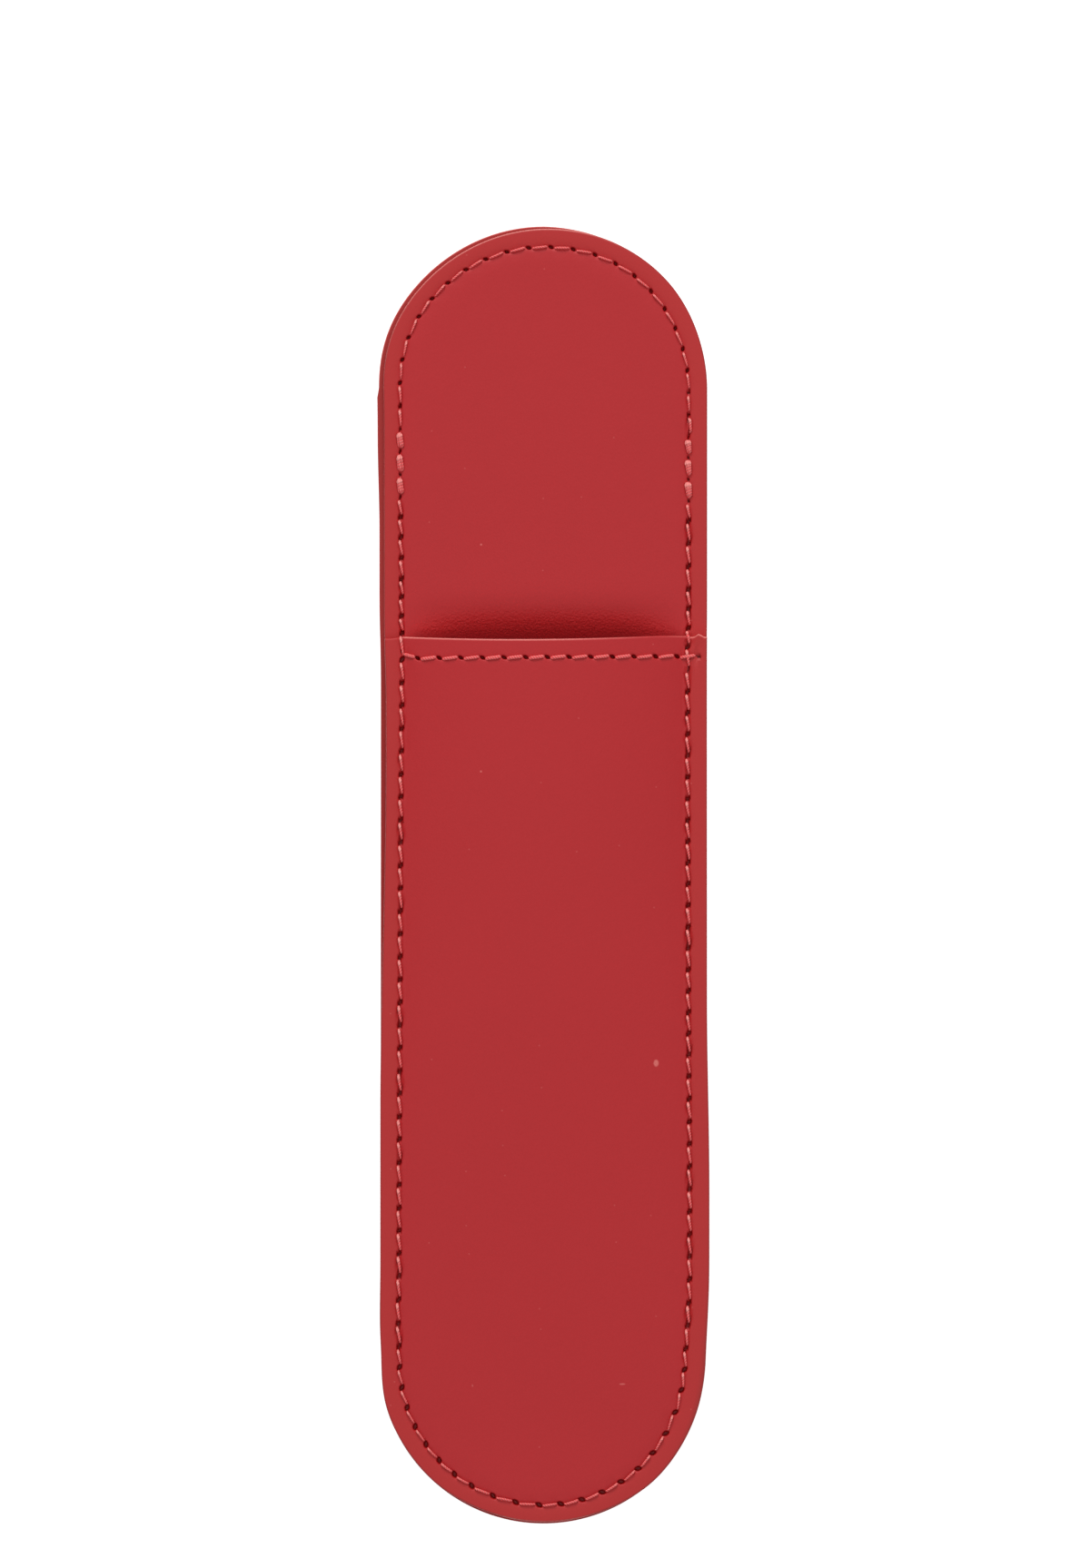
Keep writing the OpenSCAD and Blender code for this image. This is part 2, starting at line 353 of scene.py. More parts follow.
# %% Seam line
seam_quarter = math.pi / 2 * seam_half
seam_whole = 4 * seam_quarter + 4 * spine
right_wander = [(0.1, 40, -15), (0.07, -22, -10)]
left_wander = [(0.12, 22, -15), (0.04, -25, -10)]
left_out, left_run_in = 0.05, [(0.18, 37, 8)]
wander_fade = 6


def wander(side, y):
    """How far the seams run outwards: more low down, and the left one runs in above the mouth."""
    if side < 0:
        out = left_out + ramps(y, left_wander) - humps(y, left_run_in)
    else:
        out = ramps(y, right_wander)
    return side * float(out * ease((spine - abs(y)) / wander_fade))


def seam_xy(s):
    """Point on the seam line at a distance s clockwise from the top of the tab."""
    s = (s + seam_whole / 2) % seam_whole - seam_whole / 2
    side, a = (1 if s >= 0 else -1), abs(s)
    if a <= seam_quarter:
        u = a / seam_half
        return Vector((side * seam_half * math.sin(u), spine + seam_half * math.cos(u)))
    if a <= seam_quarter + 2 * spine:
        y = spine - (a - seam_quarter)
        return Vector((side * seam_half + wander(side, y), y))
    u = (a - seam_quarter - 2 * spine) / seam_half
    return Vector((side * seam_half * math.cos(u), -spine - seam_half * math.sin(u)))


print(f"the seam line is {seam_whole:.1f} mm long")

# %% One slit
slit_turn, slit_long, slit_short = math.radians(-32), 0.48, 0.30
steep_bite, flat_bite, row_bite = math.radians(-31), math.radians(-14), math.radians(-20)
bite = 0.38


def turned(v, angle):
    """The flat direction v turned anticlockwise."""
    c, s = math.cos(angle), math.sin(angle)
    return Vector((c * v.x - s * v.y, s * v.x + c * v.y))


def hole(xy, tangent, size, bite_turn):
    """A slit: its place and size, the direction of its cut and where the thread leaves it."""
    tangent = tangent.normalized()
    return {
        "at": xy, "cut": turned(tangent, slit_turn), "size": size,
        "bite": turned(tangent, bite_turn) * bite,
    }


def seam_hole(s, size, bite_turn):
    """A slit on the seam line."""
    return hole(seam_xy(s), seam_xy(s + 0.2) - seam_xy(s - 0.2), size, bite_turn)


print(f"a full slit is {2 * slit_long:.2f} mm long")


# %% Pitches along the outer seams
right_laps, left_laps = [2.56, 2.79, 2.91], [2.85, 3.0, 2.8]
right_neck = [2.44, 2.91, 2.91, 2.9, 2.44, 2.56, 2.56, 2.84]
left_neck = [3.4, 2.2, 2.45, 2.35, 2.65, 2.65, 2.55, 2.55]
right_lap_y, left_lap_y = 55.95, 56.9
right_foot_y, left_foot_y = -60.4, -60.1
tab_count, slack_count, slack_gain = 24, 5, 0.55
upper_right, lower_right_count = (51.9, 19), 12
foot_runs = [(5.4, 2), (9.05, 3), (16.6, 6), (9.05, 3)]
heel_count, left_count = 8, 30


def spaced(start, legs):
    """Distances of the holes: each leg is a list of pitches."""
    steps = [start]
    for leg in legs:
        for pitch in leg:
            steps.append(steps[-1] + pitch)
    return steps


def even(length, count):
    """A leg of equal pitches."""
    return [length / count] * count


def right_s(y):
    """Distance along the seam line of a height on the right side; the left has its negative."""
    return seam_quarter + spine - y


tab_top = right_s(right_lap_y) + right_s(left_lap_y)
slack = tab_top * slack_count / tab_count + slack_gain
tab_steps = spaced(-right_s(left_lap_y - sum(left_laps)), [
    left_laps, even(slack, slack_count), even(tab_top - slack, tab_count - slack_count), right_laps,
])

right_foot = right_s(right_foot_y)
body_right = right_foot - right_s(right_lap_y) - sum(right_laps) - sum(right_neck)
body_left = -right_s(left_lap_y - sum(left_laps) - sum(left_neck)) + right_s(left_foot_y)
foot_round = seam_whole - right_s(left_foot_y) - right_foot
heel = foot_round - sum(length for length, count in foot_runs)
body_steps = spaced(right_s(right_lap_y), [
    right_laps, right_neck, even(*upper_right), even(body_right - upper_right[0], lower_right_count),
    *[even(*run) for run in foot_runs],
    even(heel, heel_count), even(body_left, left_count), left_neck, left_laps,
])
print(len(tab_steps), "holes in the tab seam,", len(body_steps), "in the body seam")

# %% Holes of the outer seams
lap_low, lap_high = 47.2, 57.4
tab_slit, body_slit, lap_slit = 0.72, 1.0, 0.5
flat_below = -70


def doubled(y):
    """True where the tab seam and the body seam share their holes, which the laps nearly fill."""
    return lap_low < y < lap_high


tab_holes = [
    seam_hole(s, lap_slit if doubled(seam_xy(s).y) else tab_slit, flat_bite) for s in tab_steps
]
body_holes = [
    seam_hole(
        s, lap_slit if doubled(seam_xy(s).y) else body_slit,
        flat_bite if seam_xy(s).y < flat_below else steep_bite,
    )
    for s in body_steps
]
print(sum(doubled(one["at"].y) for one in body_holes), "of the body's holes are shared")

# %% Mouth row
row_height, row_pitch, row_count = 27.66, 2.79, 14
row_right, row_rise, row_from = 19.9, 0.0065, -16
row_slit = 0.75
first_at, first_lean, first_slit = Vector((-18.35, row_height + 0.75)), Vector((1, -0.3)), 0.6
bow_curve, bow_middle, bow_deep, bow_most, bow_reach = 0.0015, -3, 0.25, 0.2, 7
left_corner_drop = [(0.32, -17.8, -2.5)]


def mouth_bow(x):
    """The mouth edge sags a little left of the middle and drops at the left corner."""
    sag = np.minimum(bow_curve * (x - bow_middle) ** 2 - bow_deep, bow_most)
    return sag - ramps(x, left_corner_drop)


def bow_share(y):
    """How much of the bow the pocket follows: all at its edge, nothing 7 mm below."""
    return ease((y - y_mouth + bow_reach) / bow_reach)


def row_y(x):
    """The row is sewn straight across the bowed leather and rises a little to the right."""
    return row_height + row_rise * (x - row_from) - mouth_bow(x) * bow_share(row_height)


mouth_xs = [row_right - row_pitch * k for k in range(row_count - 1, -1, -1)]
mouth_holes = [hole(first_at, first_lean, first_slit, steep_bite)]
mouth_holes += [
    hole(Vector((x, float(row_y(x)))), Vector((1, 0)), row_slit, row_bite) for x in mouth_xs
]
print(len(mouth_holes), "holes along the mouth")

# %% [markdown]
# ## Cutting a layer
# A layer starts as a circle of points. Its upper half is pulled up and its lower half down, which
# makes the pill outline; the two long edges are divided and the outline is filled and inset ring
# by ring, closely at the rim and at the seam and more loosely inside. The pocket layers are then
# cut off at the mouth. Solidify gives the thickness.


# %% Picking and reading parts of a mesh
def pick(piece, kind, mask):
    """Goes into edit mode with the chosen points, edges or faces selected."""
    only(piece)
    bpy.ops.object.mode_set(mode="EDIT")
    bpy.ops.mesh.select_mode(type=kind)
    bpy.ops.mesh.select_all(action="DESELECT")
    bpy.ops.object.mode_set(mode="OBJECT")
    mesh = piece.data
    parts = {"VERT": mesh.vertices, "EDGE": mesh.edges, "FACE": mesh.polygons}[kind]
    parts.foreach_set("select", np.asarray(mask, dtype=bool))
    bpy.ops.object.mode_set(mode="EDIT")


def read(parts, name, width, kind=float):
    """What each part of a mesh holds under a name, one row each."""
    values = np.zeros(len(parts) * width, dtype=kind)
    parts.foreach_get(name, values)
    return values.reshape(-1, width)


def points(piece):
    """The points of a mesh in millimetres."""
    return read(piece.data.vertices, "co", 3) / MM


def put_points(piece, co):
    """Moves the points of a mesh to places in millimetres."""
    piece.data.vertices.foreach_set("co", (co * MM).ravel())
    piece.data.update()


def edge_runs(piece):
    """How far each edge runs along x, y and z."""
    ends = points(piece)[read(piece.data.edges, "vertices", 2, int)]
    return np.abs(ends[:, 0] - ends[:, 1])


# %% Cutting and thickening
arc_points, straight_cuts = 131, 247
rim_rings = [0.05, 0.08, 0.12, 0.15, 0.35, 0.45, 0.41]
seam_rings = [0.33] * 5
inner_rings = [1.2] * 14
rings = rim_rings + seam_rings + inner_rings
rim_rows = [0.05, 0.13, 0.25, 0.4]
spine_gap, merge_within, on_plane, on_side = 0.01, 0.03, 1e-7, 0.01


def cut_layer(name, thickness, mouth=None):
    """A flat pill of leather with its top face at z = 0, cut off at the mouth if one is given."""
    rest()
    bpy.ops.mesh.primitive_circle_add(
        vertices=2 * arc_points, radius=half_w * MM, fill_type="NOTHING"
    )
    layer = bpy.context.object
    layer.name = layer.data.name = name
    for side in (1, -1):
        pick(layer, "VERT", side * points(layer)[:, 1] > 0)
        bpy.ops.transform.translate(value=(0, side * spine * MM, 0))
        rest()
    pick(layer, "EDGE", np.linalg.norm(edge_runs(layer), axis=1) > spine)
    bpy.ops.mesh.subdivide(number_cuts=straight_cuts)
    bpy.ops.mesh.select_all(action="SELECT")
    bpy.ops.mesh.edge_face_add()
    bpy.ops.mesh.select_mode(type="FACE")
    bpy.ops.mesh.select_all(action="SELECT")
    rest()
    if layer.data.polygons[0].normal.z < 0:
        pick(layer, "FACE", [True])
        bpy.ops.mesh.flip_normals()
    pick(layer, "FACE", [True])
    for step in rings:
        bpy.ops.mesh.inset(thickness=step * MM, depth=0)
    bpy.ops.mesh.inset(thickness=(half_w - sum(rings) - spine_gap) * MM)
    bpy.ops.mesh.delete(type="ONLY_FACE")
    bpy.ops.mesh.select_all(action="SELECT")
    bpy.ops.mesh.remove_doubles(threshold=merge_within * MM)
    for row in [] if mouth is None else [0, *rim_rows]:
        bpy.ops.mesh.select_all(action="SELECT")
        bpy.ops.mesh.bisect(
            plane_co=(0, (mouth - row) * MM, 0), plane_no=(0, 1, 0), clear_outer=row == 0,
            threshold=on_plane,
        )
    rest()
    only(layer)
    wall = layer.modifiers.new("thickness", "SOLIDIFY")
    wall.thickness, wall.offset, wall.material_offset_rim = thickness * MM, -1, 1
    bpy.ops.object.modifier_apply(modifier=wall.name)
    return layer


def refine(layer, side_z, near, cuts):
    """Divides the faces of one side wherever near, a function of their middles, says so."""
    middles = read(layer.data.polygons, "center", 3) / MM
    outer = np.abs(middles[:, 2] - side_z) < on_side
    pick(layer, "FACE", near(middles[:, 0], middles[:, 1]) & outer)
    bpy.ops.mesh.subdivide(number_cuts=cuts)
    rest()


print("a layer has", len(rings) + 1, "rings of faces")

# %% [markdown]
# ## Pricking and trimming
# Where the slits come, the outer face is divided finely and pressed in: a deep narrow pit for
# each slit, a shallow bed for each stitch, and a soft valley along the whole seam, because the
# pull of the thread sinks the leather there. The layers were trimmed by hand after gluing, so
# their edges don't lie quite over each other: the back shows as a strip along the left.

# %% Relief of the seams
slit_corner, slit_edge, slit_fade, slit_near = 1.5, 1.2, 0.45, 1
bed_w, bed_near = 0.3, 2.4


def stitches_between(holes):
    """Start and end of each stitch's visible run, in the flat."""
    pairs = zip(holes, holes[1:])
    return [(one["at"] + one["bite"], other["at"] - other["bite"]) for one, other in pairs]


def slit_depths(flat, holes):
    """How deep in a slit each point is, from 0 to 1."""
    depth = np.zeros(len(flat))
    for one in holes:
        rel = flat[:, :2] - np.array(one["at"])
        near = np.abs(rel).max(axis=1) < slit_near
        cut = np.array(one["cut"])
        a = np.abs(rel[near] @ cut) / (slit_long * one["size"])
        b = np.abs(rel[near] @ np.array((-cut[1], cut[0]))) / (slit_short * one["size"])
        reach = (a ** slit_corner + b ** slit_corner) ** (1 / slit_corner)
        depth[near] = np.maximum(depth[near], ease((slit_edge - reach) / slit_fade))
    return depth


def bed_depths(flat, runs):
    """How near each point is to a stitch, from 0 to 1."""
    depth = np.zeros(len(flat))
    for start, end in runs:
        start, end = np.array(start), np.array(end)
        rel = flat[:, :2] - start
        line = end - start
        near = np.abs(rel - line / 2).max(axis=1) < bed_near
        t = np.clip(rel[near] @ line / (line @ line), 0, 1)
        away = np.linalg.norm(rel[near] - t[:, None] * line, axis=1)
        depth[near] = np.maximum(depth[near], np.exp(-((away / bed_w) ** 2)))
    return depth


tab_runs, body_runs = stitches_between(tab_holes), stitches_between(body_holes)
mouth_runs = stitches_between(mouth_holes)
print(len(tab_runs + body_runs + mouth_runs), "stitches")

# %% Rounding and trimming of the edges
right_cut, right_proud = [(0.3, -40, 24)], 0.08
left_cut = [(0.72, -30, 44), (-0.22, 22, 10)]
heel_cut = [(0.2, -0.2, -0.4), (0.28, -0.72, -0.26)]
back_tuck, back_jut = [(0.55, -60, 20)], [(0.12, 24, 12), (0.22, 44, 12)]
jut_end, tab_jut = 61.4, 0.1
full_tip, flat_heel = [(0.08, -0.07, 0.42)], [(0.28, -62.5, 4.5)]
trim_fade, give_share = 1.9, 0.8


def arris_drop(d, radius):
    """Height lost at a distance d in from an edge that is rounded to that radius."""
    t = np.clip(radius - d, 0, radius)
    return radius - np.sqrt(np.maximum(radius ** 2 - t ** 2, 0))


def side_of(x, y):
    """Outward direction of the nearest edge: its share to the right and its share up."""
    off = y - np.clip(y, -spine, spine)
    reach = np.maximum(np.hypot(x, off), 1e-6)
    return x / reach, off / reach


def end_trim(nx, y):
    """The left side is a little flat where the foot begins, and the very top is a little full."""
    return humps(y, flat_heel) * (nx < 0) - humps(nx, full_tip) * (y > spine)


def front_trim(nx, ny, y):
    """The front layers are cut smaller than the back, most along the upper left."""
    right = ramps(y, right_cut) - right_proud
    left = ramps(y, left_cut)
    heel = ramps(ny, heel_cut) * (y < 0)
    return right + (left - right) * ease(0.5 - nx) + heel + end_trim(nx, y)


def back_trim(nx, ny, y):
    """The back was laid a little to the left: it hides on the right and juts out on the left."""
    left = np.where(y < jut_end, -ramps(y, back_jut), -tab_jut)
    return np.where(nx > 0, nx * ramps(y, back_tuck), left * np.abs(nx)) + end_trim(nx, y)


def trimmed(flat, trim):
    """Moves the outer margin in by what the trim says, fading out before the seam. The glued
    margin gives, so that it follows only a part of what the swell draws in."""
    x, y = flat[:, 0], flat[:, 1]
    nx, ny = side_of(x, y)
    give = give_share * draw_in(y) * np.abs(nx)
    share = np.clip(1 - inset_of(x, y) / trim_fade, 0, 1) * (trim(nx, ny, y) - give)
    moved = flat.copy()
    moved[:, 0] -= nx * share
    moved[:, 1] -= ny * share
    return moved


print("the back juts out up to", round(float(ramps(jut_end, back_jut)), 2), "mm")

# %% [markdown]
# ## Marks of making and use, and painted highlights
# The edges are painted pale along the mouth and round the ends: partly the finish rubbed off, and
# partly a painted highlight on the edges that face the light, as on the back's arris at the upper
# left. The brown dye of the cut edges has run in a little, and the glued margin is a shade duller.
# Each of these is kept as an attribute, a number at every point, so that the materials can show it
# where it belongs.

# %% Pale edges (worn finish and painted highlight) and dyed edges
top_highlight, top_side, heel_highlight = [(0.8, 0.05, 0.7)], [(1, 0.62, -0.5)], [(0.45, -0.93, -0.06)]
mouth_least, mouth_paler, mouth_faint = 0.5, [(0.5, 9, -8)], [(0.42, 14, 4)]
mouth_start, mouth_corner = [(1, -18.8, 0.8)], [(0.4, 18.3, 0.5)]
dye_line, dye_run, dye_most = 0.22, [(0.3, -66, 9)], 0.8
arris_highlight, arris_side = [(0.8, -0.02, 0.1)], [(1, 0.4, -0.4)]


def edge_line(d, width, core):
    """A line along an edge, full to (core - 1) times its width and gone at core times it."""
    return np.clip(core - d / width, 0, 1)


def front_wear_and_highlight(x, y, d, mouth):
    """Where the edge is painted pale: along the mouth, round the top and at the very foot. It is
    partly worn finish and partly a painted highlight on edges that face the light.
    """
    nx, ny = side_of(x, y)
    top = ramps(ny, top_highlight) * ramps(nx, top_side)
    outline = edge_line(d, width=0.2, core=1.1) * np.maximum(top, ramps(ny, heel_highlight))
    if mouth is None:
        return outline
    along = mouth_least + ramps(x, mouth_paler) - humps(x, mouth_faint)
    along = along * ramps(x, mouth_start) + ramps(x, mouth_corner)
    return np.maximum(outline, edge_line(mouth - y, width=0.2, core=1.1) * along)


def front_dye(x, y, d, mouth):
    """Where the brown dye of the cut edge shows: a thin line, wider at the lower right."""
    wide = dye_line + humps(y, dye_run) * (x > 0)
    return dye_most * edge_line(d, width=wide, core=1.2)


def back_arris_highlight(x, y, d, mouth):
    """The back's arris is painted pale round the upper left, where it faces the light: a painted
    highlight.
    """
    nx, ny = side_of(x, y)
    return edge_line(d, width=0.1, core=1.3) * ramps(ny, arris_highlight) * ramps(nx, arris_side)


def back_dye(x, y, d, mouth):
    """The dye has run in from the edge, so the strip beside the front layers is brown."""
    return edge_line(d, width=0.5, core=2.2)


print("the dye line is up to", round(dye_line + dye_run[0][0], 2), "mm wide")

# %% [markdown]
# ## Draping
# Every point of a flat layer is now moved to its place on the swell. The slits, beds and rounded
# edges go with it, and the right corner of the mouth gets its crumple, a small fold beside a dent
# where the mouth row runs over the side seam.

# %% Draping a layer
slit_deep, bed_deep, valley_deep, valley_w = 0.85, 0.10, 0.10, 0.8
margin_steps = [(1, 3.0, -1.2)]
full_stretch = 1.1
corner_steps, corner_low, corner_fade = [(1, 18.2, 0.5)], 1.1, 0.8
corner_relief = [(0.3, 19.9, 0.35), (-0.15, 19.2, 0.3)]
corner_poke, corner_back = [(0.42, 19.9, 0.4)], 0.12


def pressed(flat, d, seam, side):
    """How deep one side is pressed by its slits, beds and seam valley, and how deep in a slit."""
    deep, awl = np.zeros(len(flat)), np.zeros(len(flat))
    if seam is not None:
        holes, runs = seam
        slits, beds = slit_depths(flat[side], holes), bed_depths(flat[side], runs)
        valley = np.exp(-(((d[side] - seam_inset) / valley_w) ** 2))
        deep[side] = slit_deep * slits + bed_deep * beds * (1 - slits) + valley_deep * valley
        # awl marks the slits, which the materials paint dark as painted shade
        awl[side] = slits
    return deep, awl


def drape(
    layer, thickness, low, trim, up_radius, down_radius,
    marks_and_painted_light=front_wear_and_highlight, dye=front_dye, mouth=None, front=None, back=None,
):
    """Presses in the seams and lays the flat layer on the swell. front and back are (holes, runs)."""
    flat = points(layer)
    x, y = flat[:, 0], flat[:, 1]
    top = flat[:, 2] > -thickness / 2
    d = inset_of(x, y)
    edge = d if mouth is None else np.minimum(d, mouth - y)
    drop = np.where(top, -arris_drop(edge, up_radius), arris_drop(edge, down_radius))
    sunk, front_awl = pressed(flat, d, front, top)
    raised, back_awl = pressed(flat, d, back, ~top)
    drop = drop - sunk + raised
    stretch = back_belly * left_over(y) * across(d, hollow_fullness) / full_stretch
    marks = {
        "awl": front_awl + back_awl,
        "wear_and_highlight": marks_and_painted_light(x, y, d, mouth),
        "dyed": dye(x, y, d, mouth),
        "margin": ramps(d, margin_steps),
        # creased marks the hollow above the mouth: the grain deepens there, and the colour is painted
        # lighter there as painted light
        "creased": (y > y_mouth) * ease(stretch),
    }
    laid = trimmed(flat, trim)
    if mouth is not None:
        corner = ramps(x, corner_steps) * ease((y - mouth + corner_low) / corner_fade)
        drop += corner * humps(x, corner_relief) * top
        laid[:, 1] += mouth_bow(x) * bow_share(y) + corner * (humps(x, corner_poke) - corner_back)
    laid[:, 0], laid[:, 1] = placed(laid[:, 0], laid[:, 1])
    laid[:, 2] = low(d, y) + flat[:, 2] + thickness + drop
    put_points(layer, laid)
    for name, values in marks.items():
        mark = layer.data.attributes.new(name, "FLOAT", "POINT")
        mark.data.foreach_set("value", values)
    only(layer)
    bpy.ops.object.shade_smooth()
    print(layer.name, len(layer.data.polygons), "faces")


# %% Choosing the faces to divide
hole_reach, hole_cuts = 0.75, 3
row_reach, row_half, row_cuts = 1.1, 19.5, 2


def near_holes(holes):
    """A test for being near any of the holes."""
    def near(x, y):
        found = np.zeros(len(x), dtype=bool)
        for one in holes:
            found |= np.hypot(x - one["at"].x, y - one["at"].y) < hole_reach
        return found
    return near


def near_row(x, y):
    """True in the band of leather under the mouth row."""
    return (np.abs(y - row_height) < row_reach) & (np.abs(x) < row_half)


# %% Back
all_holes, all_runs = tab_holes + body_holes, tab_runs + body_runs
back = cut_layer("back_panel_leather", back_t)
refine(back, -back_t, near_holes(all_holes), hole_cuts)
drape(
    back, back_t, back_low, back_trim, up_radius=0.12, down_radius=0.3,
    marks_and_painted_light=back_arris_highlight, dye=back_dye, back=(all_holes, all_runs),
)

# %% Facing
neck_holes = [one for one in all_holes if one["at"].y > y_mouth]
neck_runs = [run for run in all_runs if max(run[0].y, run[1].y) > y_mouth]
facing = cut_layer("facing_panel_leather", facing_t)
refine(facing, 0, near_holes(neck_holes), hole_cuts)
drape(
    facing, facing_t, facing_low, front_trim, up_radius=0.2, down_radius=0.1,
    front=(neck_holes, neck_runs),
)

# %% Lining
lining_back = 0.1
lining_mouth = y_mouth - lining_back
lining = cut_layer("pocket_lining_leather", lining_t, lining_mouth)
drape(
    lining, lining_t, lining_low, front_trim, up_radius=0.1, down_radius=0.12, mouth=lining_mouth
)

# %% Pocket front
pocket_holes = [one for one in body_holes if one["at"].y < y_mouth] + mouth_holes
pocket_runs = [run for run in body_runs if min(run[0].y, run[1].y) < y_mouth] + mouth_runs
pocket = cut_layer("pocket_panel_leather", pocket_t, y_mouth)
refine(pocket, 0, near_row, row_cuts)
refine(pocket, 0, near_holes(pocket_holes), hole_cuts)
drape(
    pocket, pocket_t, pocket_low, front_trim, up_radius=0.2, down_radius=0.1, mouth=y_mouth,
    front=(pocket_holes, pocket_runs),
)

# %% [markdown]
# ## Stitches
# The thread is a twisted cord about half a millimetre thick. One stitch is modelled once, as a
# short six-sided rod divided along its length, and copied for each pair of holes. Each copy is
# bent: it comes up out of one slit, lies in its bed and dives into the next. The rod keeps the
# map that Blender gives a cylinder, so the material can wind the plies round it.

# %% One stitch
def stitch_rod(segments):
    """A unit rod along z, divided into segments."""
    rest()
    bpy.ops.mesh.primitive_cylinder_add(vertices=6, radius=1, depth=1, end_fill_type="NGON")
    rod = bpy.context.object
    rod.name = "stitch_rod"
    pick(rod, "EDGE", edge_runs(rod)[:, 2] > 1)
    bpy.ops.mesh.subdivide(number_cuts=segments - 1)
    rest()
    return rod


short_rod, long_rod = stitch_rod(10), stitch_rod(18)
print("one stitch has", len(short_rod.data.polygons), "faces")

# %% What the stitches lie on
climb_from, climb_fade = 0.42, 0.5


def on_pocket(y):
    """1 on the pocket front and 0 on the facing, with a soft climb at the mouth edge."""
    return ease((y_mouth + climb_from - y) / climb_fade)


def front_height(x, y):
    """Top of whatever leather shows from above."""
    d = inset_of(x, y)
    return facing_top(d, y) * (1 - on_pocket(y)) + pocket_top(d, y) * on_pocket(y)


def back_height(x, y):
    """Underside of the back."""
    return back_low(inset_of(x, y), y)


def lining_height(x, y):
    """Underside of the lining, inside the pocket."""
    return lining_low(inset_of(x, y), y)


# %% Bending a stitch between two holes
thread_r, thread_flat = 0.255, 0.78
dive_share, dive_deep, dive_back = 0.16, 0.9, 0.04
bed_gap, middle_rise = 0.08, 0.05
arch_rise, arch_sink = [(0.14, 0.2, 0.16)], [(0.08, 0.5, 0.4)]
arch_spot, arch_fuller, tail_slimmer = (0.2, 0.13), 0.12, [(0.15, 0.45, 0.5)]
end_slimmer, end_share = 0.25, 0.12


def bend(rod, start, end, height, up=1, shift=0.0, lift=0.0, thick=1.0, sag=0.0, glint=0.0):
    """A copy of the rod that runs from start to end in the flat, laid on the swell. On the sides
    a stitch arches up at its upper end, where the light catches it, and sinks at its lower end."""
    mesh = rod.data.copy()
    copy = bpy.data.objects.new("stitch", mesh)
    bpy.context.scene.collection.objects.link(copy)
    co = points(rod) * MM
    s = co[:, 2] + 0.5
    run = end - start
    length = run.length
    along = np.array(run / length)
    left = np.array((-along[1], along[0]))
    upright = abs(along[1]) ** 2

    def from_top(s):
        return 1 - s if along[1] > 0 else s

    def centre(s):
        """Middle of the thread at a share s of its length: out of the hole, along, and in."""
        dive = 1 - ease(np.minimum(s, 1 - s) / dive_share)
        travel = np.where(s < 0.5, 1, -1) * dive_back * dive + s
        flat = np.array(start) + np.outer(travel * length, along)
        flat = flat + left * (shift * (1 - dive) + sag * np.sin(np.pi * s))[:, None]
        arched = humps(from_top(s), arch_rise) - ramps(from_top(s), arch_sink)
        body = bed_gap + lift * (1 - dive) + middle_rise * np.sin(np.pi * s) + upright * arched
        z = height(flat[:, 0], flat[:, 1]) + up * (body - dive_deep * dive ** 2)
        bowed = on_pocket(flat[:, 1]) * (height is not back_height)
        flat[:, 1] += mouth_bow(flat[:, 0]) * bow_share(flat[:, 1]) * bowed
        return np.stack([*placed(flat[:, 0], flat[:, 1]), z], axis=1)

    tangent = centre(np.minimum(s + 0.01, 1)) - centre(np.maximum(s - 0.01, 0))
    tangent /= np.linalg.norm(tangent, axis=1)[:, None]
    side = np.cross(tangent, (0, 0, up))
    side /= np.maximum(np.linalg.norm(side, axis=1), 1e-6)[:, None]
    above = np.cross(side, tangent)
    arch = upright * hump(from_top(s), *arch_spot)
    r = thread_r * thick * (1 - end_slimmer * (1 - ease(np.minimum(s, 1 - s) / end_share)))
    r = r * (1 + arch_fuller * arch - upright * ramps(from_top(s), tail_slimmer))
    across_it, above_it = (co[:, 0] * r)[:, None], (co[:, 1] * r * thread_flat)[:, None]
    put_points(copy, centre(s) + side * across_it + above * above_it)
    # The tip attribute is a painted highlight: the arch at a stitch's upper end, and glint along it,
    # are painted paler
    tip = mesh.attributes.new("tip", "FLOAT", "POINT")
    tip.data.foreach_set("value", np.maximum(arch, glint * np.sin(np.pi * s)))
    return copy


print(f"the thread is {2 * thread_r:.2f} mm wide")


def join(copies, name):
    """Joins copies into one object at the origin."""
    rest()
    for copy in copies:
        copy.select_set(True)
    bpy.context.view_layer.objects.active = copies[0]
    bpy.ops.object.join()
    made = bpy.context.object
    made.name = made.data.name = name
    bpy.ops.object.mode_set(mode="EDIT")
    bpy.ops.mesh.select_all(action="SELECT")
    bpy.ops.mesh.normals_make_consistent(inside=False)
    bpy.ops.object.mode_set(mode="OBJECT")
    bpy.ops.object.shade_smooth()
    return made


# %% Sewing a seam
chance = random.Random(7)
wobble_most, thick_least, thick_most = 0.04, 0.93, 1.07
side_slimmer, end_arc_slimmer = 0.15, [(0.2, 58, 8)]
lap_apart, strands, strand_slip, strand_loose = 0.24, (-0.1, 0.1), 0.07, 0.12
# A strand's glint is a painted highlight along its top
strand = {"lift": 0.22, "thick": 0.6, "glint": 0.12}


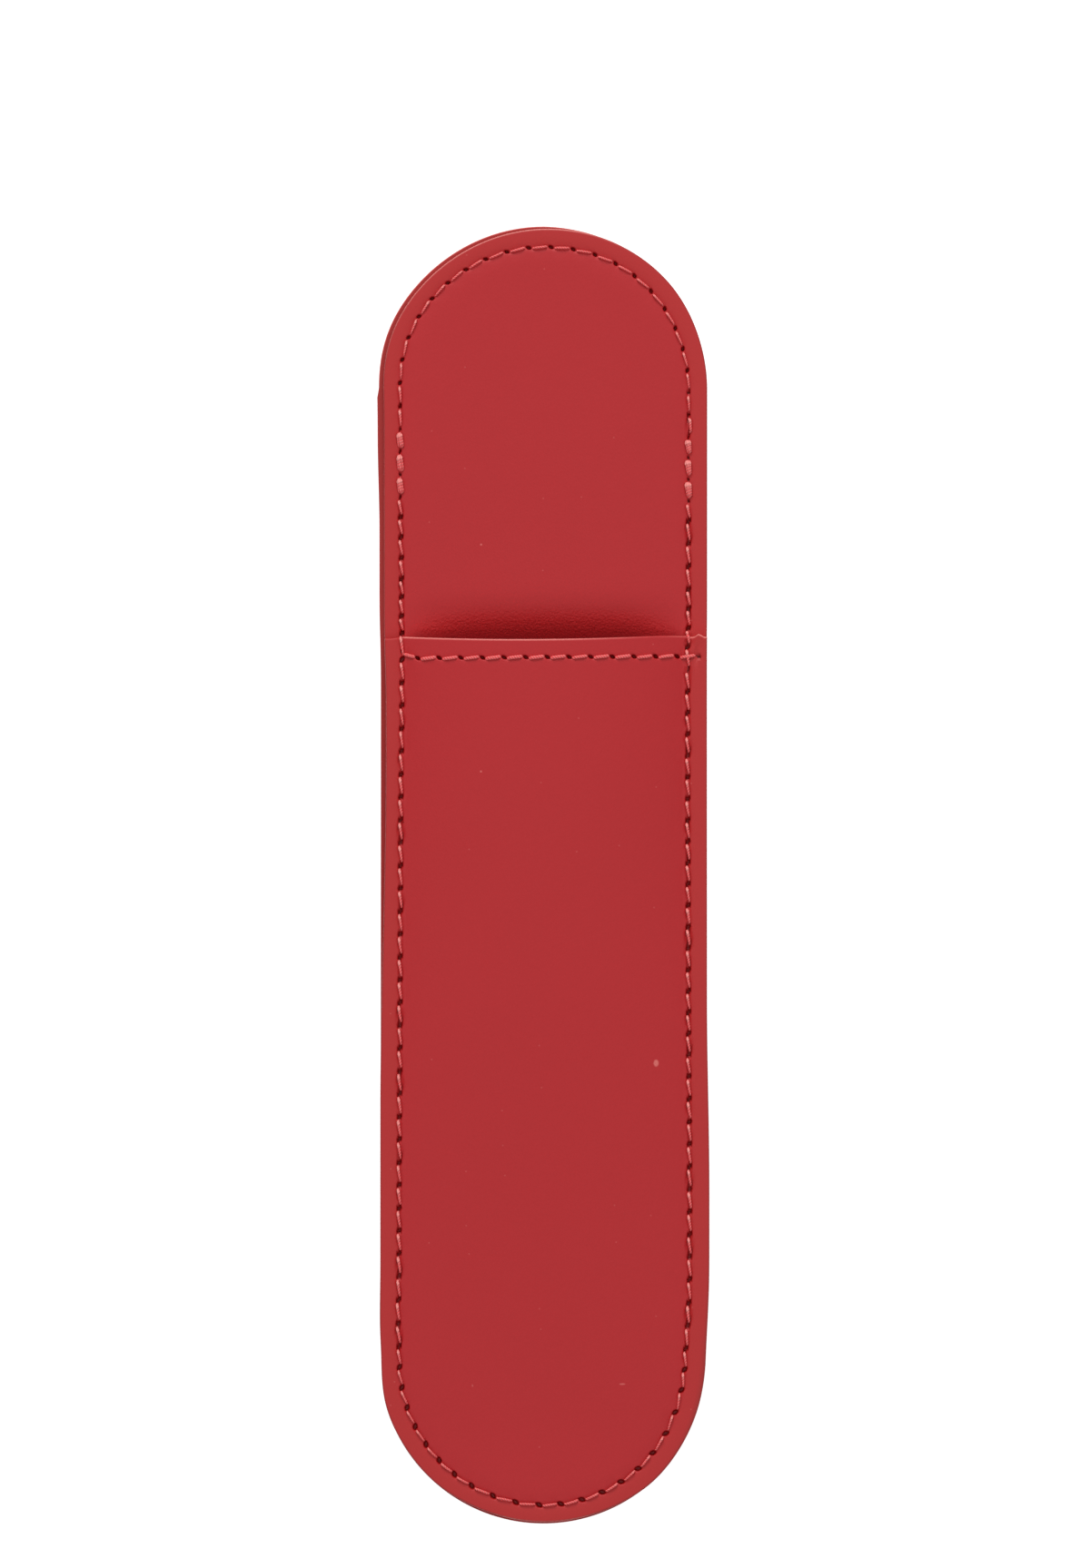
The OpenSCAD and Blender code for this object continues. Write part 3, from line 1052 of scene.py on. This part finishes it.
def sew(name, runs, height, up, aside, stout):
    """All stitches of a seam. Where two seams share their holes, each moves aside, and the upper
    one shows the loose plies of its worn thread."""
    copies = []
    for start, end in runs:
        crosses = up > 0 and (start.y > y_mouth) != (end.y > y_mouth)
        rod = long_rod if crosses else short_rod
        lapped = doubled((start.y + end.y) / 2)
        wobble = chance.uniform(-wobble_most, wobble_most)
        upright = abs((end - start).normalized().y)
        thick = stout * (1 - side_slimmer * upright) * chance.uniform(thick_least, thick_most)
        thick *= 1 - ramps(abs(start.y), end_arc_slimmer)
        shift = aside * up * lapped
        copies.append(bend(rod, start, end, height, up, shift, thick=thick, sag=wobble))
        if lapped and aside < 0 and up > 0:
            for place in strands:
                slip = place + chance.uniform(-strand_slip, strand_slip)
                loose = chance.uniform(-strand_loose, strand_loose)
                copies.append(bend(rod, start, end, height, up, slip, sag=loose, **strand))
    made = join(copies, name)
    print(name, len(copies), "stitches and strands,", len(made.data.polygons), "faces")
    return made


# %% The six threads
open_half = 14.6
open_runs = [run for run in mouth_runs if abs((run[0].x + run[1].x) / 2) < open_half]
seams = [
    ("tab_seam_needle", tab_runs, front_height, 1, lap_apart, 0.78),
    ("body_seam_needle", body_runs, front_height, 1, -lap_apart, 0.8),
    ("tab_seam_bobbin", tab_runs, back_height, -1, lap_apart, 0.8),
    ("body_seam_bobbin", body_runs, back_height, -1, -lap_apart, 0.8),
    ("mouth_seam_needle", mouth_runs, front_height, 1, 0, 0.94),
    ("mouth_seam_bobbin", open_runs, lining_height, -1, 0, 0.8),
]
twines = {seam: sew(f"{seam}_twine", *how) for seam, *how in seams}
for rod in (short_rod, long_rod):
    bpy.data.objects.remove(rod)

# %% [markdown]
# ## Finishes
# The leather is a smooth, finely grained calf with a satin finish. Its colour is a deep red, and
# the little white in what one sees is the shine of the finish, so the base colour holds almost no
# green or blue. What several materials share is a node group: the grain, the handling patina,
# the worn, dyed and pricked places, the scuffs, the specks of dust and the plies of the thread.
# Some colours are painted light: a painted highlight on the pale edges, the stitch tips and the ply
# ridges, painted shade in the slits and the ply furrows, and a painted lighter red in the hollow
# above the mouth. Each material puts in its own values.

# %% Group helper
def new_group(name, out, **ins):
    """A shader group with the first values of the sockets that it is given. A value of 1, 3 or 4
    numbers makes a number, a place or a colour. It fills the sockets out, numbers but for Color."""
    group = bpy.data.node_groups.new(name, "ShaderNodeTree")
    kinds = {1: "NodeSocketFloat", 3: "NodeSocketVector", 4: "NodeSocketColor"}
    for label, value in ins.items():
        kind, label = kinds[np.size(value)], label.replace("_", " ")
        made = group.interface.new_socket(label, in_out="INPUT", socket_type=kind)
        made.default_value = value
    for label in out:
        kind = kinds[4 if label == "Color" else 1]
        group.interface.new_socket(label, in_out="OUTPUT", socket_type=kind)
    start = node(group, "NodeGroupInput")
    end = node(group, "NodeGroupOutput")
    return group, start.outputs, end.inputs


def use(tree, group, **values):
    """Places a group and feeds its sockets."""
    return node(tree, "ShaderNodeGroup", node_tree=group, **values)


def attribute(tree, name):
    """The values that a mesh keeps at its points."""
    return node(tree, "ShaderNodeAttribute", attribute_name=name).outputs["Fac"]


origin, black = (0, 0, 0), (0, 0, 0, 1)
print("Blender", bpy.app.version_string)

# %% Grain group
fineness, pit_share, fine_share, swelling_share, crease_gain = 1.7, 0.6, 0.5, 1.5, 6.0
grain, given, result = new_group(
    "calf_grain", ["Height", "Tone"], Vector=origin, Pores_per_Metre=3200, Softness=0.5, Creased=0
)
where, pores, softness = given["Vector"], given["Pores per Metre"], given["Softness"]
cells = node(
    grain, "ShaderNodeTexVoronoi", feature="SMOOTH_F1", Vector=where, Scale=pores, Smoothness=softness
)
finer = maths(grain, "MULTIPLY", pores, fineness)
fuzz = node(grain, "ShaderNodeTexNoise", Vector=where, Scale=finer, Detail=3.0, Roughness=0.6)
broad = node(grain, "ShaderNodeTexNoise", Vector=where, Scale=420.0, Detail=2.0)
pits = maths(grain, "MULTIPLY", cells.outputs["Distance"], pit_share)
fine = maths(grain, "MULTIPLY", fuzz.outputs["Fac"], fine_share)
swellings = maths(grain, "MULTIPLY", broad.outputs["Fac"], swelling_share)
deeper = maths(grain, "MULTIPLY_ADD", given["Creased"], crease_gain, 1.0)
small = maths(grain, "MULTIPLY", maths(grain, "ADD", pits, fine), deeper)
feed(grain, maths(grain, "ADD", small, swellings), result["Height"])
feed(grain, fuzz.outputs["Fac"], result["Tone"])
print("grain:", len(grain.nodes), "nodes")

# %% Patina group
patina, given, result = new_group("handling_patina", ["Shade"], Vector=origin, Amount=0.06)
where = given["Vector"]
clouds = node(patina, "ShaderNodeTexNoise", Vector=where, Scale=45.0, Detail=4.0, Roughness=0.55)
flecks = node(patina, "ShaderNodeTexNoise", Vector=where, Scale=1400.0, Detail=2.0, Roughness=0.7)
both = maths(patina, "ADD", clouds.outputs["Fac"], flecks.outputs["Fac"])
centred = maths(patina, "SUBTRACT", both, 1.0)
scaled = maths(patina, "MULTIPLY", centred, given["Amount"])
feed(patina, maths(patina, "ADD", scaled, 1.0), result["Shade"])
print("patina:", len(patina.nodes), "nodes")

# %% Wear group
hollow_painted_light_red, margin_red = (0.66, 0.020, 0.024, 1), (0.515, 0.018, 0.019, 1)
pale_wear_and_highlight, hole_painted_shade = (0.92, 0.27, 0.24, 1), (0.32, 0.002, 0.002, 1)
dye_grain, wear_and_highlight_grain = 0.8, 1.4
# This group lays the real marks (margin, dye, wear) and the painted light: the lighter hollow, the
# painted highlight on pale edges and the painted shade in the slits
marks_and_painted_light, given, result = new_group(
    "wear_dye_and_painted_light", ["Color"], Color=black, Dye=black, Tone=0.5, Margin=0, Dyed=0, Worn=0, Awl=0,
    Creased=0,
)


def uneven(amount, gain):
    """The mark times a grainy share, so that it breaks up along the grain."""
    share = maths(marks_and_painted_light, "MULTIPLY_ADD", given["Tone"], gain, 1 - gain / 2)
    return maths(marks_and_painted_light, "MULTIPLY", share, amount, clamp=True)


so_far = given["Color"]
for colour, amount in (
    # hollow_painted_light_red is painted light: the facing is painted lighter where it sinks into the
    # hollow above the mouth, to lift the shade there
    (hollow_painted_light_red, given["Creased"]),
    (margin_red, given["Margin"]),
    (given["Dye"], uneven(given["Dyed"], dye_grain)),
    # pale_wear_and_highlight: the pale edges are partly worn finish and partly a painted highlight on
    # edges facing the light; the scuffs and dust specks are real wear
    (pale_wear_and_highlight, uneven(given["Worn"], wear_and_highlight_grain)),
    # hole_painted_shade is painted shade: the slits are painted dark where the holes go deep
    (hole_painted_shade, given["Awl"]),
):
    so_far = over(marks_and_painted_light, so_far, colour, amount)
feed(marks_and_painted_light, so_far, result["Color"])
print("wear:", len(marks_and_painted_light.nodes), "nodes")

# %% Scuff group
scuff_reach, scuff_edge = 1.3, 2.0
scuff, given, result = new_group(
    "scuff_mark", ["Mask"], Vector=origin, Place=origin, Stretch=(1, 1, 0)
)
away = node(scuff, "ShaderNodeVectorMath", given["Vector"], given["Place"], operation="SUBTRACT")
sized = node(scuff, "ShaderNodeVectorMath", away.outputs[0], given["Stretch"], operation="MULTIPLY")
span = node(scuff, "ShaderNodeVectorMath", sized.outputs[0], operation="LENGTH")
inside = maths(scuff, "SUBTRACT", scuff_reach, span.outputs["Value"])
feed(scuff, maths(scuff, "MULTIPLY", inside, scuff_edge, clamp=True), result["Mask"])
print("scuff:", len(scuff.nodes), "nodes")

# %% Speck group
speck_reach, speck_edge, speck_rarity = 0.026, 90.0, 0.85
specks, given, result = new_group("dust_specks", ["Mask"], Vector=origin, Specks_per_Metre=210)
spots = node(
    specks, "ShaderNodeTexVoronoi", voronoi_dimensions="2D", feature="F1",
    Vector=given["Vector"], Scale=given["Specks per Metre"],
)
dot = maths(specks, "SUBTRACT", speck_reach, spots.outputs["Distance"])
dot = maths(specks, "MULTIPLY", dot, speck_edge, clamp=True)
draw = node(specks, "ShaderNodeSeparateColor", spots.outputs["Color"])
kept = maths(specks, "GREATER_THAN", draw.outputs[0], speck_rarity)
feed(specks, maths(specks, "MULTIPLY", dot, kept), result["Mask"])
print("specks:", len(specks.nodes), "nodes")

# %% Ply group
plies_round, plies_along = 4 * math.pi, 8 * math.pi
plies, given, result = new_group("wound_plies", ["Height"], Vector=origin, Turns=2.3)
split = node(plies, "ShaderNodeSeparateXYZ", given["Vector"])
round_it = maths(plies, "MULTIPLY", split.outputs[0], plies_round)
run_on = maths(plies, "MULTIPLY", split.outputs[1], plies_along)
wound = maths(plies, "MULTIPLY", run_on, given["Turns"])
phase = maths(plies, "ADD", round_it, wound)
half = maths(plies, "MULTIPLY", maths(plies, "COSINE", phase), 0.5)
feed(plies, maths(plies, "ADD", half, 0.5), result["Height"])
print("plies:", len(plies.nodes), "nodes")

# %% Leather materials
dust_share, tone_in_shine = 0.16, 0.16


def leather(name, red, dye, rough, gloss, relief, pores=3200.0, hand_amount=0.06, scuffs=()):
    """A grained leather that shows the marks kept at its points. scuffs are (x, y, wide, tall,
    strength) and relief is the depth of the grain."""
    made, tree = blank_material(name)
    where = node(tree, "ShaderNodeTexCoord").outputs["Object"]
    creased = attribute(tree, "creased")
    skin = use(tree, grain, Vector=where, Pores_per_Metre=pores, Creased=creased)
    hand = use(tree, patina, Vector=where, Amount=hand_amount).outputs["Shade"]
    dust = use(tree, specks, Vector=where).outputs["Mask"]
    rubbed_by = maths(tree, "MULTIPLY", dust, dust_share)
    for x, y, wide, tall, strength in scuffs:
        stretch = (2 / (wide * MM), 2 / (tall * MM), 0)
        mark = use(tree, scuff, Vector=where, Place=(x * MM, y * MM, 0), Stretch=stretch)
        part = maths(tree, "MULTIPLY", mark.outputs["Mask"], strength)
        rubbed_by = maths(tree, "MAXIMUM", rubbed_by, part)
    # The pale edges, part wear and part painted highlight, join the scuffs and dust specks here
    wear_and_highlight = maths(tree, "MAXIMUM", attribute(tree, "wear_and_highlight"), rubbed_by)
    shade = over(tree, red, hand, 1.0, blend="MULTIPLY")
    tone = skin.outputs["Tone"]
    marks = use(tree, marks_and_painted_light, Color=shade, Tone=tone, Dye=dye, Worn=wear_and_highlight, Creased=creased)
    for kind in ("margin", "dyed", "awl"):
        feed(tree, attribute(tree, kind), marks.inputs[kind.title()])
    bump = node(tree, "ShaderNodeBump", Height=skin.outputs["Height"], Distance=relief * MM)
    dull = maths(tree, "MULTIPLY", tone, tone_in_shine)
    dull = maths(tree, "ADD", dull, rough - tone_in_shine / 2)
    body = node(
        tree, "ShaderNodeBsdfPrincipled", Specular_IOR_Level=gloss, Roughness=dull,
        Base_Color=marks.outputs["Color"], Normal=bump.outputs["Normal"],
    )
    node(tree, "ShaderNodeOutputMaterial", body.outputs[0])
    return made


# %% The five leathers
brown, burnt = (0.40, 0.018, 0.015, 1), (0.34, 0.019, 0.016, 1)
back_red, lining_red = (0.46, 0.008, 0.012, 1), (0.30, 0.008, 0.010, 1)
facing_red, pocket_red = (0.510, 0.012, 0.017, 1), (0.515, 0.012, 0.017, 1)
edge_red = (0.34, 0.040, 0.030, 1)
facing_scuffs = [(-8.1, 42.2, 0.25, 0.25, 0.4)]
pocket_scuffs = [
    (14.24, -24.04, 0.6, 0.8, 0.5), (9.94, -65.1, 0.7, 0.2, 0.35), (-9.2, -65.3, 0.2, 0.3, 0.25),
    (-8.1, 13.2, 0.25, 0.25, 0.4),
]
satin = {"dye": burnt, "rough": 0.50, "gloss": 0.45, "relief": 0.014}
back_skin = leather("back_calf", back_red, brown, rough=0.50, gloss=0.45, relief=0.018)
facing_skin = leather("facing_calf", facing_red, scuffs=facing_scuffs, **satin)
lining_skin = leather(
    "lining_calf", lining_red, burnt, rough=0.6, gloss=0.3, relief=0.02, pores=2600.0
)
pocket_skin = leather("pocket_calf", pocket_red, scuffs=pocket_scuffs, **satin)
cut_edge = leather(
    "cut_edge", edge_red, burnt, rough=0.5, gloss=0.4, relief=0.03, pores=5200.0, hand_amount=0.25
)
print("pocket leather:", len(pocket_skin.node_tree.nodes), "nodes")

# %% Thread material
# The plies are painted: a painted highlight on their ridges and painted shade in their furrows, on
# top of their bump
furrow_shade_coral, ridge_highlight_coral = (0.95, 0.085, 0.095, 1), (1.0, 0.24, 0.23, 1)
tip_highlight_coral, tip_highlight_share, ply_relief = (1.0, 0.40, 0.36, 1), 0.75, 0.06
thread_skin, tree = blank_material("coral_thread")
winding = node(tree, "ShaderNodeUVMap", uv_map="UVMap").outputs["UV"]
ply = use(tree, plies, Vector=winding, Turns=3.2).outputs["Height"]
# The tip highlight is painted into the thread's colour
tip_highlight_amount = maths(tree, "MULTIPLY", attribute(tree, "tip"), tip_highlight_share)
coral = over(tree, furrow_shade_coral, ridge_highlight_coral, ply)
coral = over(tree, coral, tip_highlight_coral, tip_highlight_amount)
bump = node(tree, "ShaderNodeBump", Height=ply, Distance=ply_relief * MM)
body = node(
    tree, "ShaderNodeBsdfPrincipled", Specular_IOR_Level=0.2, Roughness=0.6,
    Base_Color=coral, Normal=bump.outputs["Normal"],
)
node(tree, "ShaderNodeOutputMaterial", body.outputs[0])
print("thread:", len(tree.nodes), "nodes")

# %% [markdown]
# ## Dressing the pieces
# Each piece gets its material, rides on the sleeve's one body and stands for its solid. Solidify
# gave the cut edge the second material slot, and clearing the materials would forget which faces
# it is on, so that is read before and put back after.

# %% Dressing
dressed = [
    (back, back_skin, "back_leather", "back_panel"),
    (facing, facing_skin, "facing_leather", "facing_panel"),
    (lining, lining_skin, "lining_leather", "pocket_lining"),
    (pocket, pocket_skin, "pocket_leather", "pocket_panel"),
]
dressed += [(piece, thread_skin, "seam_thread", f"{seam}_thread") for seam, piece in twines.items()]
for piece, skin, slot, solid in dressed:
    face_slots = read(piece.data.polygons, "material_index", 1, np.int32)
    piece.data.materials.clear()
    piece.data.materials.append(skin)
    if skin is not thread_skin:
        piece.data.materials.append(cut_edge)
        piece.data.polygons.foreach_set("material_index", face_slots.ravel())
    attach(piece, "root")
    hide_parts(solid)
print(len(dressed), "pieces dressed")
